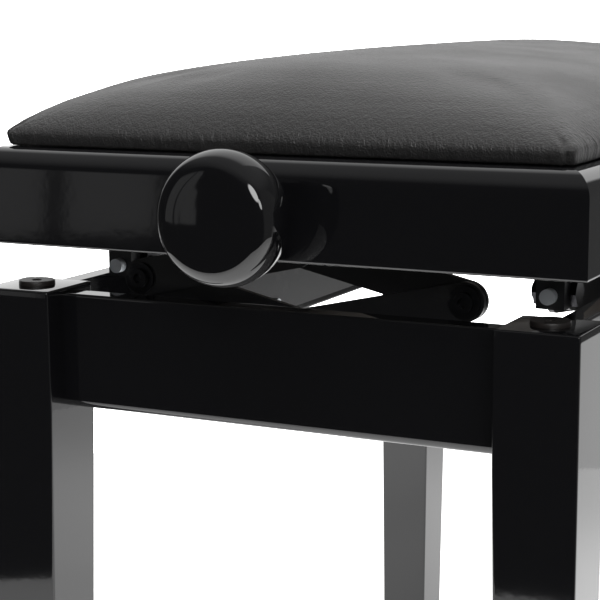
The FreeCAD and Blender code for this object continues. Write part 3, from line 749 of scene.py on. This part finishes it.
def stuffed_form(settings):
    """Cover filled by the foam: a coarse closed pad is blown up as cloth with its
    underside held, and no point may move more than the cap."""
    grid = pad_grid(*FORM_STEPS, settings, shrink=FOAM_SHRINK)
    form = surface("stuffed_form", grid, wrap_v=True, caps=True)
    remesh = form.modifiers.new("even", "REMESH")
    remesh.mode = "VOXEL"
    remesh.voxel_size = FOAM_MESH
    apply_all(form)
    rest = mesh_points(form)
    held = form.vertex_groups.new(name="held")
    held.add(np.flatnonzero(rest[:, 2] < RAIL_TOP + FOAM_HELD).tolist(), 1.0, "REPLACE")
    cloth = form.modifiers.new("cover", "CLOTH")
    cloth.settings.quality = 6
    cloth.settings.use_pressure = True
    cloth.settings.uniform_pressure_force = settings.stuffing
    cloth.settings.effector_weights.gravity = 0.0
    cloth.settings.tension_stiffness = 25
    cloth.settings.compression_stiffness = 25
    cloth.settings.vertex_group_mass = "held"
    cloth.collision_settings.use_self_collision = False
    for step in range(1, CLOTH_FRAMES + 1):
        bpy.context.scene.frame_set(step)
    apply_all(form)
    moved = mesh_points(form) - rest
    length = np.linalg.norm(moved, axis=1, keepdims=True)
    moved *= np.minimum(1, FOAM_CAP / np.maximum(length, 1e-9))
    put_points(form, rest + moved)
    bpy.context.scene.frame_set(1)
    return form


def wrinkled(points, settings):
    """Pull marks along the lower edge and one folded pleat beside each corner.

    The marks are a sum of sines of the distance along each side, up to a few
    tenths of a millimetre deep, and fade out with height. A pleat is a narrow
    groove exp(-(s/w)^2) a millimetre or two beside the corner that dies out
    upwards, with a slight lip a few millimetres further along the short side."""
    x, y, z = points[:, 0], points[:, 1], points[:, 2]
    outward = np.stack([np.sign(x) * np.abs(x / PAD_X) ** 24,
                        np.sign(y) * np.abs(y / PAD_Y) ** 24], axis=1)
    size = np.linalg.norm(outward, axis=1, keepdims=True)
    outward = np.where(size > 1e-6, outward / np.maximum(size, 1e-6), 0)
    along = np.where(np.abs(outward[:, 0]) > np.abs(outward[:, 1]), y, x)
    height = z - RAIL_TOP
    near_edge = np.clip(size[:, 0] * 1.6, 0, 1)
    fade = np.exp(-(height / 0.017) ** 2) * near_edge
    marks = (np.sin(along * 910 + 1.7 * np.sin(along * 37)) * 0.45
             + np.sin(along * 1430 + 2.3 * np.sin(along * 61 + 1)) * 0.30
             + np.sin(along * 520 + 1.1 * np.sin(along * 23 + 2)) * 0.55)
    push = marks * fade * settings.wrinkle
    to_corner_x, to_corner_y = PAD_X - np.abs(x), PAD_Y - np.abs(y)
    side = to_corner_x - to_corner_y
    pleat_height = np.exp(-(np.maximum(height - 0.004, 0) / 0.0085) ** 2)
    close = np.exp(-((to_corner_x + to_corner_y) / 0.030) ** 4)
    groove = np.exp(-((side - 0.0015 - height * 0.12) / 0.0014) ** 2) * pleat_height * close
    lip = np.exp(-((side - 0.0052 - height * 0.12) / 0.0022) ** 2) * pleat_height * close
    push = push - settings.pleat * groove + settings.pleat * 0.22 * lip
    moved = points.copy()
    moved[:, :2] += outward * push[:, None]
    return moved


class BENCH_OT_pad(bpy.types.Operator):
    """Domed pad in leathercloth, stuffed tight over the seat board"""
    bl_idname = "bench.pad"
    bl_label = "Padded Seat"

    def execute(self, context):
        settings = context.scene.bench_pad
        grid = pad_grid(*PAD_STEPS, settings)
        pad = surface("leathercloth_pad", grid, wrap_v=True, caps=True)
        form = stuffed_form(settings)
        wrap = pad.modifiers.new("over the foam", "SHRINKWRAP")
        wrap.target = form
        wrap.wrap_method = "NEAREST_SURFACEPOINT"
        before = mesh_points(pad)
        apply_all(pad)
        after = mesh_points(pad)
        weight = np.clip((before[:, 2:] - RAIL_TOP - FOAM_FROM) / FOAM_OVER, 0, 1)
        put_points(pad, before + (after - before) * weight)
        bpy.data.objects.remove(form, do_unlink=True)
        points = wrinkled(mesh_points(pad), settings)
        limit = np.array([PAD_X, PAD_Y]) + COVER_LIMIT
        points[:, :2] = np.clip(points[:, :2], -limit, limit)
        points[:, 2] = np.maximum(points[:, 2], RAIL_TOP + 0.0002)
        put_points(pad, points)
        pad.data.polygons.foreach_set("use_smooth", np.ones(len(pad.data.polygons), dtype=bool))
        finish_piece(pad, SEAT, FINISHES["leathercloth"], "seat_pad")
        return {"FINISHED"}


# --- studio -------------------------------------------------------------------------
# Strengths and unit directions. The ramps in studio_world() run between two
# values of one coordinate of the direction.
BACKDROP_GLOW = 1.5
CEILING_GLOW = 0.42
RIGHT_GLOW = 0.25          # dim light at the far right
PANEL_GLOW = 0.50          # the two tall panels at the front left
ROOM_GLOW = 0.045          # the dark room in front
SHADE_DEPTH = 0.9          # how much the shade at the right takes from the backdrop
LOW_LAMP = (0.618, -0.740, 0.264)      # the two front lamps
HIGH_LAMP = (0.42, -0.79, 0.43)
BACKDROP_SEEN = 6.0        # strength for camera rays, high enough to come out white


def studio_world():
    """White backdrop behind with a shade at its right, soft ceiling, and a dark room
    in front with two tall panels at the left and two lamps at the right. The camera
    itself sees plain white."""
    world = bpy.data.worlds.new("studio")
    bpy.context.scene.world = world
    world.use_nodes = True
    tree = world.node_tree
    tree.nodes.clear()
    where = tree.nodes.new("ShaderNodeTexCoord")
    split = tree.nodes.new("ShaderNodeSeparateXYZ")
    wire(tree, where, "Generated", split, "Vector")

    def ramp(axis, low, high, value=1.0):
        """Nothing at low, value at high, along one coordinate of the direction."""
        made = add(tree, "ShaderNodeMapRange", interpolation_type="SMOOTHSTEP",
                   from_min=low, from_max=high, to_min=0.0, to_max=value)
        wire(tree, split, axis, made, "Value")
        return made

    def combine(kind, *parts):
        """All parts joined by one kind of arithmetic."""
        made = parts[0]
        for part in parts[1:]:
            step = add(tree, "ShaderNodeMath", operation=kind)
            tree.links.new(made.outputs[0], step.inputs[0])
            tree.links.new(part.outputs[0], step.inputs[1])
            made = step
        return made

    def spot(toward, width, value):
        """Round light in one direction, width as the cosine where it starts."""
        near = add(tree, "ShaderNodeVectorMath", operation="DOT_PRODUCT")
        near.inputs[1].default_value = toward
        wire(tree, where, "Generated", near, 0)
        made = add(tree, "ShaderNodeMapRange", interpolation_type="SMOOTHSTEP",
                   from_min=width, from_max=width + (1 - width) * 0.3, to_min=0.0, to_max=value)
        wire(tree, near, "Value", made, "Value")
        return made

    behind = ramp("Y", 0.02, 0.50, BACKDROP_GLOW)
    shade = combine("MULTIPLY", ramp("X", 0.16, 0.22, SHADE_DEPTH), ramp("Z", -0.185, -0.172))
    open_part = add(tree, "ShaderNodeMath", operation="SUBTRACT")
    open_part.inputs[0].default_value = 1.0
    tree.links.new(shade.outputs[0], open_part.inputs[1])
    back = combine("MULTIPLY", behind, open_part)
    top = ramp("Z", 0.35, 0.85, CEILING_GLOW)
    right = ramp("X", 0.62, 0.80, RIGHT_GLOW)
    front = ramp("Y", -0.25, -0.35)
    level = combine("MULTIPLY", ramp("Z", -0.135, -0.129), ramp("Z", 0.30, 0.15), front)
    first = combine("MULTIPLY", ramp("X", -0.568, -0.573, PANEL_GLOW), ramp("X", -0.76, -0.72), level)
    second = combine("MULTIPLY", ramp("X", -0.513, -0.519, PANEL_GLOW), ramp("X", -0.564, -0.559),
                     level)
    low_lamp = spot(LOW_LAMP, 0.9925, 10.0)
    high_lamp = spot(HIGH_LAMP, 0.972, 12.0)
    light = combine("MAXIMUM", back, top, right, first, second, low_lamp, high_lamp)
    room = add(tree, "ShaderNodeMath", operation="MAXIMUM")
    room.inputs[1].default_value = ROOM_GLOW
    tree.links.new(light.outputs[0], room.inputs[0])
    seen = tree.nodes.new("ShaderNodeLightPath")
    chosen = tree.nodes.new("ShaderNodeMix")
    chosen.data_type = "FLOAT"
    chosen.inputs["B"].default_value = BACKDROP_SEEN
    tree.links.new(seen.outputs["Is Camera Ray"], chosen.inputs["Factor"])
    tree.links.new(room.outputs[0], chosen.inputs["A"])
    glow = tree.nodes.new("ShaderNodeBackground")
    tree.links.new(chosen.outputs["Result"], glow.inputs["Strength"])
    output = tree.nodes.new("ShaderNodeOutputWorld")
    tree.links.new(glow.outputs[0], output.inputs["Surface"])


def studio_floor(settings):
    """Flat white disc under the bench that gives some light by itself."""
    radius = np.array([settings.floor_radius, settings.floor_radius * 0.5, 0.01])
    floor = lathe("studio_floor", radius, np.array([-0.0002, -0.0001, -0.0001]), (0, 0, 0), "Z", 96)
    material, tree, shader, where = start_material("studio floor")
    shader.inputs["Base Color"].default_value = (*settings.floor_colour, 1)
    shader.inputs["Specular IOR Level"].default_value = 0.1
    shader.inputs["Emission Color"].default_value = (1, 1, 1, 1)
    shader.inputs["Emission Strength"].default_value = settings.floor_glow
    mottle = add(tree, "ShaderNodeTexNoise", scale=6.0, detail=3.0)
    rough = add(tree, "ShaderNodeMapRange", to_min=0.6, to_max=0.8)
    wire(tree, where, "Object", mottle, "Vector")
    wire(tree, mottle, "Fac", rough, "Value")
    wire(tree, rough, 0, shader, "Roughness")
    floor.data.materials.append(material)


def studio_light(name, place, aim, size, power):
    """Square soft box at place, pointing at aim, left out of reflections."""
    lamp = bpy.data.lights.new(name, "AREA")
    lamp.size = size
    lamp.energy = power
    box = bpy.data.objects.new(name, lamp)
    box.location = place
    box.visible_glossy = False
    toward = np.array(aim, dtype=float) - np.array(place, dtype=float)
    yaw = math.atan2(toward[1], toward[0])
    drop = math.atan2(math.hypot(toward[0], toward[1]), -toward[2])
    box.rotation_euler = (drop, 0, yaw - math.pi / 2)
    bpy.context.scene.collection.objects.link(box)


def studio_camera():
    """Camera in front of the near right corner, looking slightly down. The angles
    are in radians and the focal length is in widths of the sensor."""
    place = (0.39255, -1.02149, 0.52444)
    yaw, pitch, roll = -0.4606, 0.1760, 0.0061
    focal, sensor = 2.8585, 36.0
    ahead = np.array([math.sin(yaw) * math.cos(pitch), math.cos(yaw) * math.cos(pitch), -math.sin(pitch)])
    level = np.array([math.cos(yaw), -math.sin(yaw), 0.0])
    down = np.cross(ahead, level)
    right = math.cos(roll) * level + math.sin(roll) * down
    below = -math.sin(roll) * level + math.cos(roll) * down
    lens = bpy.data.cameras.new("camera")
    lens.sensor_width = sensor
    lens.lens = focal * sensor
    lens.shift_x = -0.0094
    lens.shift_y = 0.0115
    lens.clip_start = 0.01
    camera = bpy.data.objects.new("camera", lens)
    turn = np.column_stack([right, -below, -ahead])
    camera.matrix_world = Matrix.Translation(place) @ Matrix(turn.tolist()).to_4x4()
    bpy.context.scene.collection.objects.link(camera)
    bpy.context.scene.camera = camera


class BENCH_OT_studio(bpy.types.Operator):
    """Plain floor, soft light and the camera"""
    bl_idname = "bench.studio"
    bl_label = "Studio"

    def execute(self, context):
        settings = context.scene.bench_studio
        studio_world()
        studio_floor(settings)
        studio_light("top soft box", (0.1, -0.45, 1.9), (0, -0.1, 0.45), 1.4, settings.top_power)
        studio_camera()
        context.scene.view_settings.view_transform = "Standard"
        return {"FINISHED"}


STEPS = (BENCH_OT_studio, BENCH_OT_finishes, BENCH_OT_seat_rails, BENCH_OT_aprons, BENCH_OT_legs,
         BENCH_OT_bumpers, BENCH_OT_knobs, BENCH_OT_pad)


class BENCH_PT_panel(bpy.types.Panel):
    """Steps and settings of the bench"""
    bl_label = "Piano Bench"
    bl_idname = "BENCH_PT_panel"
    bl_space_type = "VIEW_3D"
    bl_region_type = "UI"
    bl_category = "Bench"

    def draw(self, context):
        for step in STEPS:
            self.layout.operator(step.bl_idname)
        for group in ("bench_frame", "bench_pad", "bench_studio"):
            settings = getattr(context.scene, group)
            box = self.layout.box()
            for name in settings.__annotations__:
                box.prop(settings, name)


SETTINGS = {"bench_frame": BenchFrameSettings, "bench_pad": BenchPadSettings,
            "bench_studio": BenchStudioSettings}


def register():
    for kind in (*SETTINGS.values(), *STEPS, BENCH_PT_panel):
        bpy.utils.register_class(kind)
    for name, kind in SETTINGS.items():
        setattr(bpy.types.Scene, name, bpy.props.PointerProperty(type=kind))


def unregister():
    for name in SETTINGS:
        delattr(bpy.types.Scene, name)
    for kind in (BENCH_PT_panel, *reversed(STEPS), *reversed(SETTINGS.values())):
        bpy.utils.unregister_class(kind)


def main():
    """Build the finished bench around the frame."""
    register()
    bpy.ops.bench.studio()
    bpy.ops.bench.finishes()
    bpy.ops.bench.seat_rails()
    bpy.ops.bench.aprons()
    bpy.ops.bench.legs()
    bpy.ops.bench.bumpers()
    bpy.ops.bench.knobs()
    bpy.ops.bench.pad()


if __name__ == "__main__":
    main()
